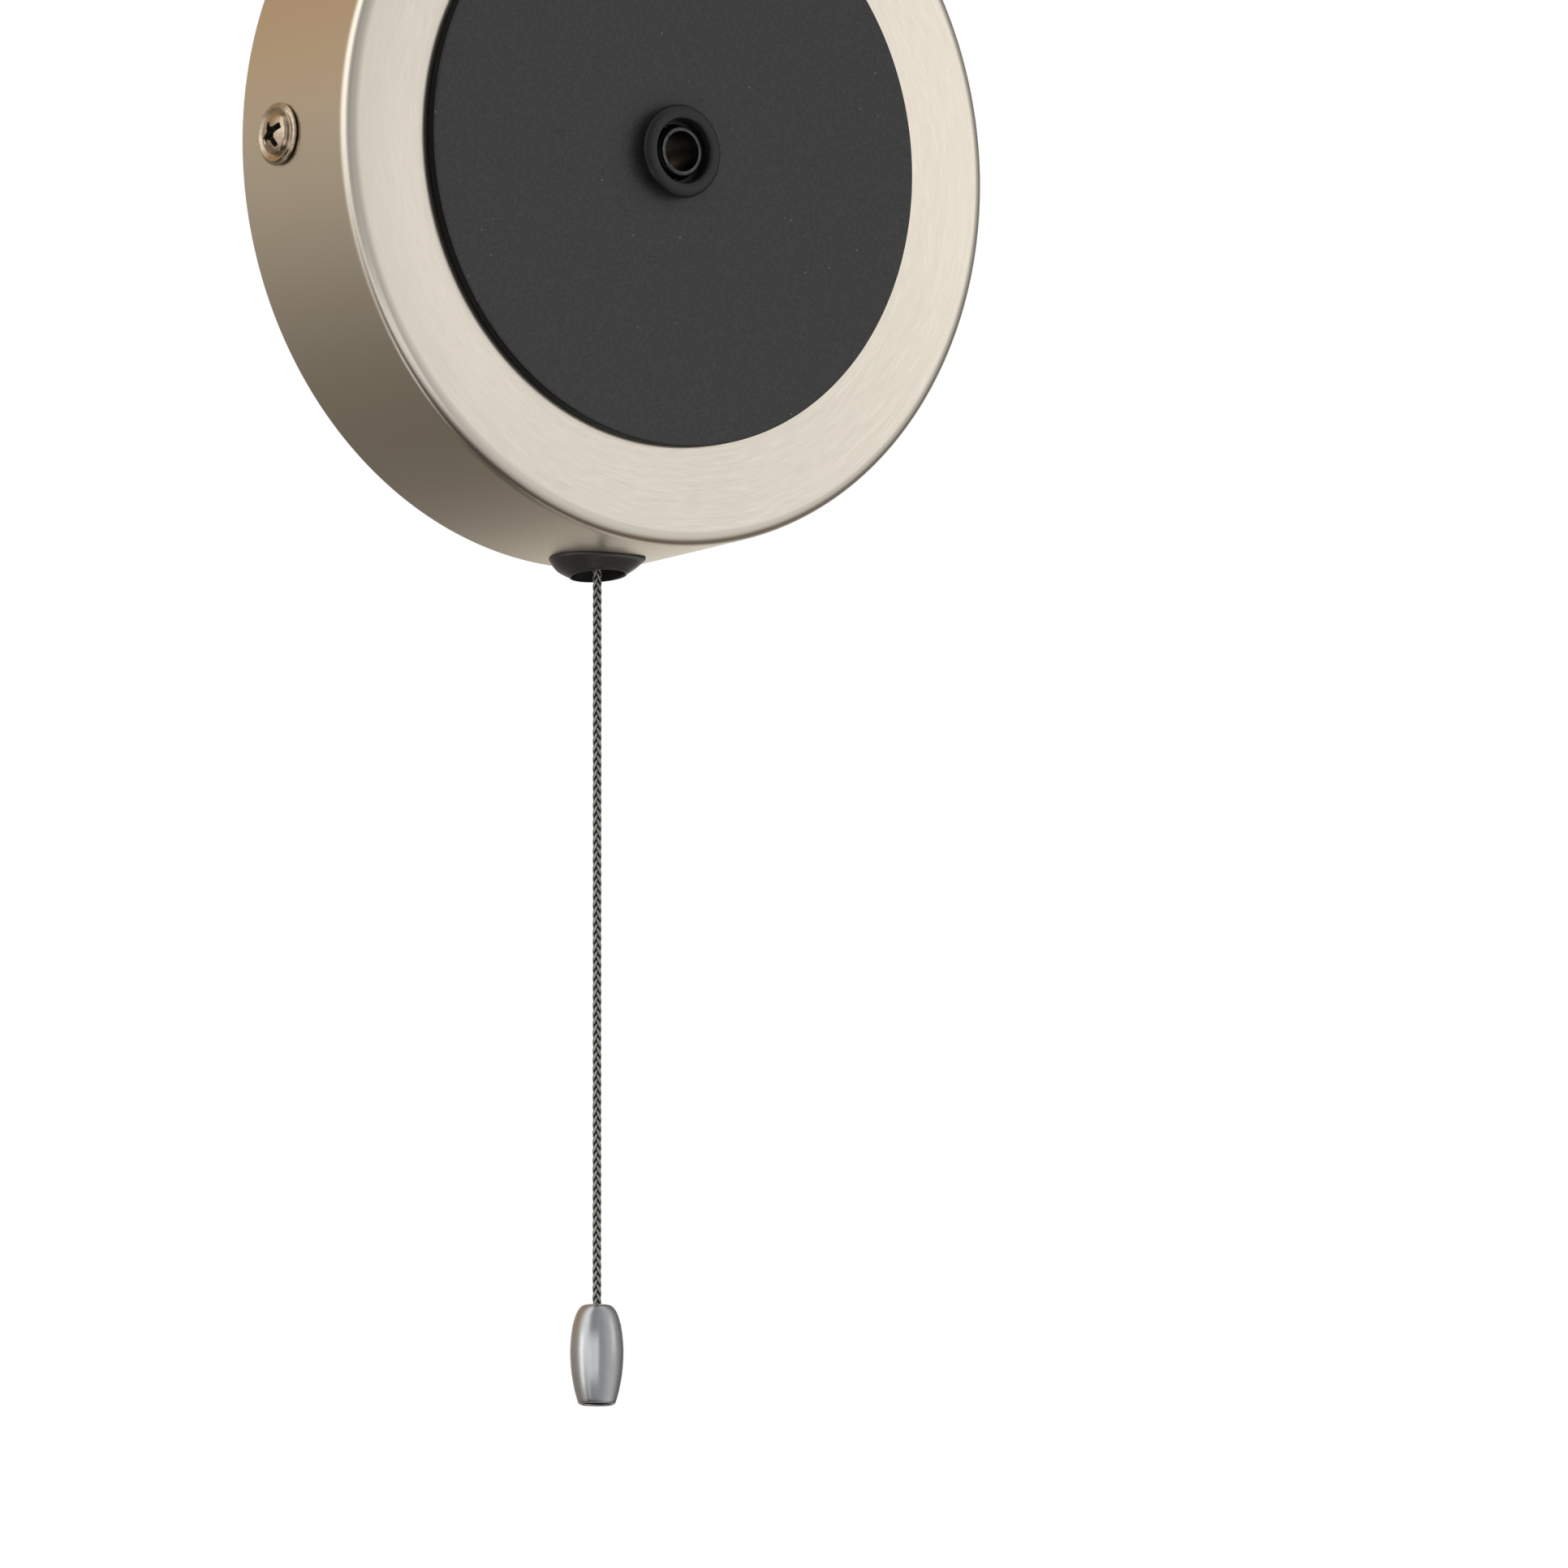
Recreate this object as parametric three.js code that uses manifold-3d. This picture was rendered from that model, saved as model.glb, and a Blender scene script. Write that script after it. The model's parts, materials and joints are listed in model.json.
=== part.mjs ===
// A pull cord switch in a round wall box: a brushed cup with a black front disc, a ratchet switch inside,
// a bell-mouthed bush in the bottom of the rim, and a braided cord with a barrel pull.
// Millimetres, +Z up, -Y towards the room. The origin is the middle of the wall plane.
import * as THREE from "three";
import { mergeVertices } from "three/addons/utils/BufferGeometryUtils.js";
import Module from "manifold-3d";

const wasm = await Module();
wasm.setup();

// ---- Driving dimensions ---------------------------------------------------------------------------------
const GAP = 0.15; // between faces that touch
const DEGREE = Math.PI / 180;

const BOX = { radius: 60, front: 59.2, depth: 26.2, wall: 1.2, edge: 2.1, facets: 60 };
const DISC = { radius: 44.4, thick: 1.5, edge: 0.3 };
const COLLAR = { radius: 7.1, bore: 4.85, height: 2.6, edge: 1.2 };
const NIPPLE = { radius: 4, bore: 3.1, back: -17.7, front: -29.8 };
const SIDE_SCREW = { y: -9.3, shank: 2, head: 3.4, washer: 4.75 };
const STRAP = { half: 57.9, width: 18, thick: 1.5, earWidth: 12, ear: 14.5 };
const SLOT = { x: 46, length: 12, width: 5 };
const BLOCK = { left: 12, pitch: 8, poles: 3, depth: 12.5, width: 16, wireY: -7.5 };
const EARTH_X = -20;

// The switch is laid out in planes about the cord, whose line is CORD_Y in front of the wall.
const CORD_Y = -8;
const CORD_RADIUS = 0.675;
const STROKE = 8;
const BUSH = { flange: 7.2, mouth: 4.05, throat: 1.3, shank: 4.9, pivot: -58.7, lip: -62.1, top: -51.6 };
const CASE = {
  left: -8.5, right: 18.3, bottom: -54.5, top: -27.8, front: -7, back: 5.5, wall: 1.5, floor: 3,
};
const LID = { front: 5.6, back: 7 };
const POSTS = [[-5.9, -30.4], [-5.9, -50.4], [15.6, -50.4]];
const WHEEL = { x: 8.2, z: -40.8, tip: 6.2, root: 3, hub: 2.8, axle: 1.2, teeth: 4 };
const CAM = { low: 3, lift: 1.2 };
const PLUNGER = { half: 3, bottom: -39.3, top: -30.3, pocket: 2.1, pocketFloor: -34 };
const PAWL = { noseX: WHEEL.x - STROKE / 2, noseZ: WHEEL.z + 5.2, nose: 0.6 };
const SPRING = { bottom: -51.4, top: -39.5, radius: 2.2, wire: 0.3, turns: 4.5 };
const LEAF = { x: 11.5, thick: 0.3, top: -32.1, bottom: -47.8, contactZ: -46.3 };
const TABS = { common: 12.3, fixed: 16.3, thick: 0.8, width: 4.8, top: -21.5 };
const PULL_TOP = -172.5;
const KNOT = { radius: 1.9, plungerZ: -32, pullZ: PULL_TOP - 6.5 };

// ---- Finishes -------------------------------------------------------------------------------------------
const finish = (color, roughness, metalness) =>
  new THREE.MeshStandardMaterial({ color, roughness, metalness });
const NICKEL = finish(0xc9c1b4, 0.32, 1);
const BLACK_COAT = finish(0x303132, 0.62, 0);
const ZINC = finish(0xb8b6b0, 0.35, 1);
const SCREW_NICKEL = finish(0xa8947a, 0.2, 1);
const BRASS = finish(0xc8a350, 0.3, 1);
const BLACK_PLASTIC = finish(0x2c2d2e, 0.38, 0);
const CREAM_PLASTIC = finish(0xdcd8cc, 0.5, 0);
const NYLON = finish(0xe6e2d6, 0.45, 0);
const BRONZE = finish(0xb57a48, 0.3, 1);
const SILVER = finish(0xdcdcd8, 0.25, 1);
const BROWN_WIRE = finish(0x5d3a25, 0.5, 0);
const BLUE_WIRE = finish(0x2b4d86, 0.5, 0);
const BRAID = finish(0x55534f, 0.8, 0);
const PULL_METAL = finish(0xb4b4b4, 0.25, 1);

// ---- Solids ---------------------------------------------------------------------------------------------

/** A closed geometry as a solid whose faces point out. */
function solid(geometry) {
  const bare = geometry.index ? geometry.toNonIndexed() : geometry.clone();
  bare.deleteAttribute("normal");
  bare.deleteAttribute("uv");
  const merged = mergeVertices(bare, 1e-4);
  const corners = merged.index.array;
  const build = (flip) => {
    const triVerts = [];
    for (let i = 0; i < corners.length; i += 3) {
      const [a, b, c] = flip ? [corners[i], corners[i + 2], corners[i + 1]] : corners.slice(i, i + 3);
      if (a !== b && b !== c && c !== a) triVerts.push(a, b, c);
    }
    const vertProperties = merged.attributes.position.array;
    const mesh = new wasm.Mesh({ numProp: 3, vertProperties, triVerts: new Uint32Array(triVerts) });
    return new wasm.Manifold(mesh);
  };
  const made = build(false);
  return made.volume() > 0 ? made : build(true);
}

/** Adds a solid to a group as one named mesh. */
function piece(group, name, made, material) {
  const { vertProperties, triVerts } = made.getMesh();
  const geometry = new THREE.BufferGeometry();
  geometry.setAttribute("position", new THREE.BufferAttribute(vertProperties, 3));
  geometry.setIndex(new THREE.BufferAttribute(triVerts, 1));
  geometry.computeVertexNormals();
  const mesh = new THREE.Mesh(geometry, material);
  mesh.name = name;
  group.add(mesh);
}

const points = (pairs) => pairs.map(([x, y]) => new THREE.Vector2(x, y));

/** Turns a geometry made about Y so that it is about another axis. */
function turned(geometry, axis) {
  if (axis === "X") return geometry.rotateZ(-Math.PI / 2);
  return axis === "Z" ? geometry.rotateX(Math.PI / 2) : geometry;
}

/** A closed outline of [radius, height] pairs, revolved about an axis through the origin. */
function revolved(outline, facets, axis = "Y") {
  return solid(turned(new THREE.LatheGeometry(points(outline), facets), axis));
}

/** A round bar between two heights on an axis, through the point at. */
function bar(radius, low, high, axis, at = [0, 0, 0], facets = 20) {
  const geometry = new THREE.CylinderGeometry(radius, radius, high - low, facets);
  geometry.translate(0, (low + high) / 2, 0);
  return solid(turned(geometry, axis).translate(...at));
}

/** A flat ring: a bar with a round hole. */
function ring(inner, outer, low, high, axis, at = [0, 0, 0], facets = 24) {
  return bar(outer, low, high, axis, at, facets).subtract(bar(inner, low - 1, high + 1, axis, at, facets));
}

/** A box between two corners. */
function block(low, high) {
  const size = high.map((v, i) => v - low[i]);
  const middle = high.map((v, i) => (v + low[i]) / 2);
  return solid(new THREE.BoxGeometry(...size).translate(...middle));
}

/** An outline in X and Z, given as pairs or a Shape, made solid from y = back to y = front. */
function plate(outline, front, back, curveSegments = 6) {
  const shape = outline instanceof THREE.Shape ? outline : new THREE.Shape(points(outline));
  const depth = back - front;
  const geometry = new THREE.ExtrudeGeometry(shape, { depth, bevelEnabled: false, curveSegments });
  return solid(geometry.rotateX(Math.PI / 2).translate(0, back, 0));
}

/** A rectangle with round corners, as a Shape. */
function roundedRectangle(left, bottom, right, top, radius) {
  const shape = new THREE.Shape();
  shape.absarc(right - radius, bottom + radius, radius, -90 * DEGREE, 0);
  shape.absarc(right - radius, top - radius, radius, 0, 90 * DEGREE);
  shape.absarc(left + radius, top - radius, radius, 90 * DEGREE, 180 * DEGREE);
  shape.absarc(left + radius, bottom + radius, radius, 180 * DEGREE, 270 * DEGREE);
  return shape;
}

/** [radius, height] pairs along an arc, from one angle to another in degrees. */
function arc(centreR, centreH, radius, from, to, steps) {
  return Array.from({ length: steps + 1 }, (_, i) => {
    const angle = (from + ((to - from) * i) / steps) * DEGREE;
    return [centreR + radius * Math.cos(angle), centreH + radius * Math.sin(angle)];
  });
}

/** A round rod swept along a curve. */
function rod(curve, radius, steps, sides) {
  const section = new THREE.Shape(points(arc(0, 0, radius, 0, 360 - 360 / sides, sides - 1)));
  return solid(new THREE.ExtrudeGeometry(section, { steps, bevelEnabled: false, extrudePath: curve }));
}

const vectors = (list) => list.map((p) => new THREE.Vector3(...p));
const through = (list) => new THREE.CatmullRomCurve3(vectors(list), false, "centripetal");
const joined = (solids) => solids.reduce((a, b) => a.add(b));
const cut = (from, solids) => solids.reduce((a, b) => a.subtract(b), from);

/** A hexagonal nut on an axis. */
function hexNut(acrossFlats, bore, low, high, axis, at) {
  const corner = acrossFlats / 2 / Math.cos(30 * DEGREE);
  return bar(corner, low, high, axis, at, 6).subtract(bar(bore, low - 1, high + 1, axis, at));
}

/** A pan-head screw on the Y axis: its shank runs from tip to seat, and its head rises towards -Y. */
function panScrew(shank, head, tip, seat, height) {
  const shoulders = [[head * 0.5, seat - height * 0.9], [head * 0.88, seat - height * 0.55]];
  const dome = revolved([[0, seat - height], ...shoulders, [head, seat], [0, seat]], 16);
  const cross = [block([-head * 0.55, seat - height - 1, -0.4], [head * 0.55, seat - height * 0.45, 0.4])];
  cross.push(block([-0.4, seat - height - 1, -head * 0.55], [0.4, seat - height * 0.45, head * 0.55]));
  return cut(dome.add(bar(shank, seat - 0.2, tip, "Y", [0, 0, 0], 12)), cross);
}

// ---- The wall box and what fixes it ---------------------------------------------------------------------

/** The drawn cup, a little narrower in front, with holes for the nipple, the bush and the side screws. */
function canopy() {
  const { radius, front, depth, wall, edge, facets } = BOX;
  const inner = radius - wall;
  const outline = [
    [radius, 0],
    ...arc(front - edge, edge - depth, edge, 0, -90, 5),
    [0, -depth],
    [0, wall - depth],
    ...arc(front - edge, edge - depth, edge - wall, -90, 0, 4),
    [inner, 0],
    [radius, 0],
  ];
  return cut(revolved(outline, facets), [
    bar(NIPPLE.radius + 0.3, -depth - 1, wall - depth + 1, "Y"),
    bar(BUSH.shank + 0.3, -radius - 1, -inner + 2, "Z", [0, CORD_Y, 0]),
    bar(SIDE_SCREW.shank + 0.3, -radius - 1, radius + 1, "X", [0, SIDE_SCREW.y, 0], 12),
  ]);
}

/** The strap that is screwed to the wall, with an ear at each end for a side screw. */
function wallBracket() {
  const { half, width, thick, earWidth, ear } = STRAP;
  const strap = plate(roundedRectangle(-half, -width / 2, half, width / 2, 5), -thick, 0);
  const earSide = earWidth / 2;
  const ears = [-half, half - thick].map((x) => block([x, -ear, -earSide], [x + thick, 0, earSide]));
  const slots = [-SLOT.x, SLOT.x].map((x) => {
    const [reach, rise] = [SLOT.length / 2, SLOT.width / 2];
    return plate(roundedRectangle(x - reach, -rise, x + reach, rise, rise - 0.01), -thick - 1, 1);
  });
  return cut(joined([strap, ...ears]), [
    ...slots,
    bar(SIDE_SCREW.shank + 0.1, -half - 5, half + 5, "X", [0, SIDE_SCREW.y, 0], 12),
    bar(SIDE_SCREW.shank + 0.1, -thick - 1, 1, "Y", [EARTH_X, 0, 0], 12),
    ...blockScrewPlaces().map((x) => bar(1.6, -thick - 1, 1, "Y", [x, 0, 0], 12)),
  ]);
}

/** A cup washer on the Y axis, its flat side at seat and its raised rim towards -Y. */
function cupWasher(inner, outer, seat, height) {
  const outline = [
    [inner, seat], [outer, seat], [outer, seat - height * 0.45], [outer * 0.86, seat - height],
    [outer * 0.74, seat - height * 0.75], [inner, seat - height * 0.75], [inner, seat],
  ];
  return revolved(outline, 20);
}

/** The two screws that hold the cup to the bracket's ears, each with its washer. */
function sideScrews() {
  const group = new THREE.Group();
  const { y, shank, head, washer } = SIDE_SCREW;
  const seat = BOX.radius + ((BOX.front - BOX.radius) * y) / -BOX.depth + 0.1;
  for (const [side, label] of [[-1, "left"], [1, "right"]]) {
    const mount = new THREE.Group();
    mount.position.set(side * seat, y, 0);
    mount.rotation.z = side * 90 * DEGREE;
    piece(mount, `side_washer_${label}`, cupWasher(shank + 0.2, washer, -GAP, 0.65), SCREW_NICKEL);
    piece(mount, `side_screw_${label}`, panScrew(shank, head, 7, -0.65, 1.15), SCREW_NICKEL);
    group.add(mount);
  }
  return group;
}

/** The black disc on the front, the collar on it, and the hollow nipple that a lamp's arm screws onto. */
function armSocket() {
  const group = new THREE.Group();
  const back = -BOX.depth - GAP;
  const front = back - DISC.thick;
  const { radius, edge } = DISC;
  const outline = [[0, back], [radius, back], [radius, front + edge], [radius - edge, front], [0, front]];
  const disc = revolved(outline, BOX.facets);
  piece(group, "front_disc", disc.subtract(bar(NIPPLE.radius + 0.2, front - 1, back + 1, "Y")), BLACK_COAT);

  const seat = front - 0.05;
  const top = seat - COLLAR.height;
  const collar = [
    [COLLAR.bore, seat],
    [COLLAR.radius, seat],
    ...arc(COLLAR.radius - COLLAR.edge, top + COLLAR.edge, COLLAR.edge, 0, -90, 4),
    [COLLAR.bore, top],
    [COLLAR.bore, seat],
  ];
  piece(group, "arm_collar", revolved(collar, 28), BLACK_COAT);
  piece(group, "arm_nipple", ring(NIPPLE.bore, NIPPLE.radius, NIPPLE.front, NIPPLE.back, "Y"), ZINC);

  const inside = BOX.wall - BOX.depth + GAP;
  piece(group, "nipple_washer", ring(NIPPLE.radius + 0.1, 7.2, inside, inside + 0.7, "Y"), ZINC);
  piece(group, "nipple_nut", hexNut(12, NIPPLE.radius + 0.1, inside + 0.8, inside + 4, "Y"), ZINC);
  return group;
}

const blockScrewPlaces = () => [1, 2].map((i) => BLOCK.left + BLOCK.pitch * i);
const polePlaces = () => [0.5, 1.5, 2.5].map((i) => BLOCK.left + BLOCK.pitch * i);

/** The block where the supply, the switch and the lamp's own leads meet, on the strap. */
function terminals() {
  const group = new THREE.Group();
  const back = -STRAP.thick - 0.1;
  const front = back - BLOCK.depth;
  const half = BLOCK.width / 2;
  const right = BLOCK.left + BLOCK.pitch * BLOCK.poles;
  const wells = polePlaces().flatMap((x) => [
    bar(2, -half - 1, half + 1, "Z", [x, BLOCK.wireY, 0], 12),
    ...[-4.5, 4.5].map((z) => bar(1.9, front - 1, BLOCK.wireY, "Y", [x, 0, z], 12)),
  ]);
  const fixings = blockScrewPlaces().flatMap((x) => [
    bar(1.7, front - 1, back + 1, "Y", [x, 0, 0], 12),
    bar(3, front - 1, front + 4, "Y", [x, 0, 0], 16),
    block([x - 0.9, front - 1, -half - 1], [x + 0.9, front + 4, half + 1]),
  ]);
  const housing = cut(block([BLOCK.left, front, -half], [right, back, half]), [...wells, ...fixings]);
  piece(group, "terminal_block", housing, CREAM_PLASTIC);

  polePlaces().forEach((x, i) => {
    const tube = ring(1.35, 1.8, -half + 1.5, half - 1.5, "Z", [x, BLOCK.wireY, 0], 12);
    piece(group, `terminal_tube_${i + 1}`, tube, BRASS);
    [-4.5, 4.5].forEach((z, j) => {
      const tip = BLOCK.wireY - 2;
      const slot = block([x - 2, front - 1, z - 0.25], [x + 2, front + 1, z + 0.25]);
      const screw = bar(1.5, front + 0.4, tip, "Y", [x, 0, z], 10).subtract(slot);
      piece(group, `terminal_screw_${2 * i + j + 1}`, screw, ZINC);
    });
  });
  blockScrewPlaces().forEach((x, i) => {
    const screw = panScrew(1.45, 2.7, -0.3, front + 4 - 0.1, 1.7).translate([x, 0, 0]);
    piece(group, `block_screw_${i + 1}`, screw, ZINC);
  });

  const washer = cupWasher(SIDE_SCREW.shank + 0.2, 4.5, back, 1.1).translate([EARTH_X, 0, 0]);
  piece(group, "earth_washer", washer, BRASS);
  const screw = panScrew(SIDE_SCREW.shank, 3.6, -0.2, back - 1.15, 2.2).translate([EARTH_X, 0, 0]);
  piece(group, "earth_screw", screw, BRASS);
  return group;
}

// ---- The switch, in a frame whose Y is measured from the cord's line ------------------------------------

/** The bell-mouthed bush: a domed flange that is saddled to the rim, and a shank through it. */
function cordBush() {
  const { flange, mouth, throat, shank, pivot, lip, top } = BUSH;
  const outline = [
    [shank, top],
    [shank, -59.4],
    [flange, -59.4],
    [flange, -60.35],
    [6.95, -60.65], [6.3, -61.12], [5.4, -61.64], [4.7, -61.96],
    [mouth + 0.25, lip],
    [mouth, lip + 0.12],
    [throat, pivot],
    [throat, pivot + 1.4],
    [2, pivot + 2.2],
    [2, top],
    [shank, top],
  ];
  const rim = bar(BOX.radius + 0.12, -BOX.depth, 10, "Y", [0, -CORD_Y - 1, 0], BOX.facets);
  const keep = bar(shank, -60.6, top + 1, "Z", [0, 0, 0], 32);
  const whole = revolved(outline, 32, "Z");
  return whole.subtract(rim.subtract(keep));
}

/** The front half of the case: a tub with posts for screws, a floor for the bush and slots for the tabs. */
function switchCase() {
  const { left, right, bottom, top, front, back, wall, floor } = CASE;
  const tub = plate(roundedRectangle(left, bottom, right, top, 1.5), front, back);
  const hollow = block([left + wall, front + wall, bottom + floor], [right - wall, back + 1, top - wall]);
  const posts = POSTS.map(([x, z]) => bar(1.9, front + wall - 0.2, back, "Y", [x, 0, z], 12));
  return cut(joined([tub.subtract(hollow), ...posts]), [
    ...POSTS.map(([x, z]) => bar(1, -2.6, back + 1, "Y", [x, 0, z], 10)),
    bar(BUSH.shank + 0.15, bottom - 1, bottom + floor + 1, "Z", [0, 0, 0], 32),
    bar(WHEEL.axle + 0.1, front + 0.6, front + wall + 1, "Y", [WHEEL.x, 0, WHEEL.z], 16),
    ...tabPlaces().map((x) => block([x - 0.5, -2.5, top - wall - 1], [x + 0.5, 2.5, top + 1])),
  ]);
}

const tabPlaces = () => [TABS.common, TABS.fixed];

/** The back half of the case: a flat lid with the two rails that the plunger's tail runs between. */
function switchCover() {
  const { left, right, bottom, top } = CASE;
  const lid = plate(roundedRectangle(left, bottom, right, top, 1.5), LID.front, LID.back);
  const rails = [-2.6, 1.4].map((x) => block([x, 3.3, -51], [x + 1.2, LID.front + 0.2, -30]));
  return cut(joined([lid, ...rails]), [
    ...POSTS.map(([x, z]) => bar(1.1, LID.front - 1, LID.back + 1, "Y", [x, 0, z], 10)),
    bar(WHEEL.axle + 0.1, LID.front - 1, LID.back - 0.6, "Y", [WHEEL.x, 0, WHEEL.z], 16),
  ]);
}

/** The block that the cord pulls down, with a pocket for the knot and a tail in the lid's rails. */
function plunger() {
  const { half, bottom, top, pocket, pocketFloor } = PLUNGER;
  const tail = block([-1.2, half - 0.5, bottom], [1.2, 5, top]);
  const body = block([-half, -half, bottom], [half, half, top]).add(tail);
  return cut(body, [
    bar(CORD_RADIUS + 0.25, bottom - 1, top, "Z", [0, 0, 0], 12),
    bar(pocket, pocketFloor, top + 1, "Z", [0, 0, 0], 16),
  ]);
}

/** The spring finger on the plunger whose round nose pushes a ratchet tooth down. */
function drivePawl() {
  const { noseX, noseZ, nose } = PAWL;
  const shape = new THREE.Shape();
  shape.moveTo(-2.2, noseZ - nose);
  shape.absarc(noseX, noseZ, nose, -90 * DEGREE, 90 * DEGREE);
  shape.lineTo(2.4, noseZ + 1.4);
  shape.lineTo(2.4, noseZ + 3.2);
  shape.lineTo(-2.2, noseZ + 3.2);
  return plate(shape, -4.8, -PLUNGER.half - 0.1);
}

/** The wheel that each pull turns by one tooth, with the two-lobed cam that works the contacts. */
function ratchetWheel() {
  const faces = Array.from({ length: WHEEL.teeth }, (_, i) => 135 + (360 / WHEEL.teeth) * i);
  const star = faces.flatMap((face) =>
    [[WHEEL.root, 0], [WHEEL.tip, 0], [WHEEL.tip, 10], [WHEEL.root, 60]].map(([r, after]) => {
      const angle = (face + after) * DEGREE;
      return [WHEEL.x + r * Math.cos(angle), WHEEL.z + r * Math.sin(angle)];
    }),
  );
  const lobes = Array.from({ length: 36 }, (_, i) => {
    const angle = i * 10;
    const fromLow = Math.min(angle % 180, 180 - (angle % 180));
    const r = CAM.low + (CAM.lift * fromLow) / 90;
    return [WHEEL.x + r * Math.cos(angle * DEGREE), WHEEL.z + r * Math.sin(angle * DEGREE)];
  });
  const at = [WHEEL.x, 0, WHEEL.z];
  const hub = bar(WHEEL.hub, -5.3, 5.3, "Y", at, 24);
  const made = joined([plate(star, -4.9, -3.3), plate(lobes, -2.5, 2.5), hub]);
  return made.subtract(bar(WHEEL.axle + 0.15, -6, 6, "Y", at, 24));
}

/** The helical spring that returns the plunger. */
class Helix extends THREE.Curve {
  getPoint(t) {
    const angle = t * SPRING.turns * 2 * Math.PI;
    const { radius, bottom, top, wire } = SPRING;
    const height = bottom + wire + (top - bottom - 2 * wire) * t;
    return new THREE.Vector3(radius * Math.cos(angle), radius * Math.sin(angle), height);
  }
}

/** A terminal: a blade through the top of the case, on a foot or a strip inside it. */
function blade(x, inner) {
  const [side, half] = [TABS.thick / 2, TABS.width / 2];
  const tab = block([x - side, -half, CASE.top - CASE.wall - 1.4], [x + side, half, TABS.top]);
  return tab.add(inner);
}

/** The crimped, sleeved connector that a lead ends in, pushed onto a blade. */
function leadSleeve(x) {
  const sleeve = block([x - 1.4, -3.2, CASE.top + 0.5], [x + 1.4, 3.2, -17]);
  return sleeve.subtract(block([x - 0.5, -2.5, CASE.top - 1], [x + 0.5, 2.5, TABS.top + 0.3]));
}

/** Everything that is fixed in the rim, and the moving pieces inside the case. */
function switchUnit() {
  const group = new THREE.Group();
  group.position.y = CORD_Y;
  piece(group, "cord_bush", cordBush(), BLACK_PLASTIC);
  piece(group, "bush_washer", ring(BUSH.shank + 0.1, 6.9, -58, -57.6, "Z"), ZINC);
  piece(group, "bush_nut", hexNut(14, BUSH.shank + 0.1, -57.5, -54.8, "Z"), ZINC);
  piece(group, "switch_case", switchCase(), BLACK_PLASTIC);
  piece(group, "switch_cover", switchCover(), BLACK_PLASTIC);
  POSTS.forEach(([x, z], i) => {
    const screw = panScrew(0.85, 1.8, 9, -0.1, 1.05).rotate([180, 0, 0]).translate([x, LID.back, z]);
    piece(group, `case_screw_${i + 1}`, screw, ZINC);
  });

  piece(group, "plunger", plunger(), NYLON);
  piece(group, "drive_pawl", drivePawl(), BRONZE);
  piece(group, "return_spring", rod(new Helix(), SPRING.wire, 60, 5), ZINC);
  piece(group, "ratchet_wheel", ratchetWheel(), NYLON);
  const axle = bar(WHEEL.axle, CASE.front + 0.7, LID.back - 0.7, "Y", [WHEEL.x, 0, WHEEL.z], 16);
  piece(group, "wheel_axle", axle, ZINC);

  const leaf = block([LEAF.x, -2, LEAF.bottom], [LEAF.x + LEAF.thick, 2, LEAF.top]);
  piece(group, "contact_leaf", leaf, BRONZE);
  const moving = bar(1.5, LEAF.x + LEAF.thick + 0.05, LEAF.x + 1.1, "X", [0, 0, LEAF.contactZ], 14);
  piece(group, "moving_contact", moving, SILVER);
  piece(group, "fixed_contact", bar(1.5, 14.95, 15.9, "X", [0, 0, LEAF.contactZ], 14), SILVER);
  const foot = block([LEAF.x, -2, LEAF.top + 0.2], [TABS.common + 0.4, 2, LEAF.top + 1.6]);
  piece(group, "common_terminal", blade(TABS.common, foot), BRASS);
  const strip = block([16, -2, -48.2], [16.5, 2, LEAF.top + 2]);
  piece(group, "fixed_terminal", blade(TABS.fixed, strip), BRASS);
  tabPlaces().forEach((x, i) => piece(group, `lead_sleeve_${i + 1}`, leadSleeve(x), CREAM_PLASTIC));
  return group;
}

/** The two leads from the switch to the terminal block, each with a loop of slack. */
function switchLeads() {
  const group = new THREE.Group();
  const live = [
    [12.3, CORD_Y, -16.7], [12.3, -8.1, -14.2], [8.6, -10.5, -11.8], [1.5, -11, -13], [-3.5, -10.5, -18],
    [0.5, -8, -22.6], [7.4, -4.8, -20.4], [12.6, -3.3, -15.4], [15.4, -5, -12], [16, -7.5, -9.2],
    [16, -7.5, -6.8],
  ];
  const switched = [
    [16.3, CORD_Y, -16.7], [16.4, -8.2, -14.2], [19.8, -11, -11.9], [27, -11.4, -13.4], [31, -10.5, -19],
    [27, -8.6, -23.6], [21.6, -6.6, -20.4], [21, -6.2, -14.8], [23.3, -6.8, -11.4], [24, -7.5, -9],
    [24, -7.5, -6.8],
  ];
  piece(group, "switch_lead_1", rod(through(live), 1.05, 26, 7), BROWN_WIRE);
  piece(group, "switch_lead_2", rod(through(switched), 1.05, 26, 7), BLUE_WIRE);
  return group;
}

// ---- The cord and its pull ------------------------------------------------------------------------------

/** A straight vertical run of cord. */
function cordRun(top, bottom, steps) {
  const line = new THREE.LineCurve3(new THREE.Vector3(0, 0, top), new THREE.Vector3(0, 0, bottom));
  return rod(line, CORD_RADIUS, steps, 8);
}

function ball(radius, z) {
  return solid(new THREE.SphereGeometry(radius, 12, 8).rotateX(Math.PI / 2).translate(0, 0, z));
}

/** The barrel pull: a hollow turned barrel that hangs on the knot inside it. */
function cordPull() {
  const outline = [
    [CORD_RADIUS + 0.25, 0], [1.9, 0], [2.6, -0.45], [3.2, -1.55], [3.66, -3.05], [3.95, -5.2], [4.03, -7],
    [3.93, -9.2], [3.6, -11.6], [3.05, -13.9], [2.69, -14.8], [2.5, -15.05], [2.25, -15.05], [2.25, -4.4],
    [CORD_RADIUS + 0.25, -4], [CORD_RADIUS + 0.25, 0],
  ];
  return revolved(outline, 28, "Z").translate([0, 0, PULL_TOP]);
}

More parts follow.
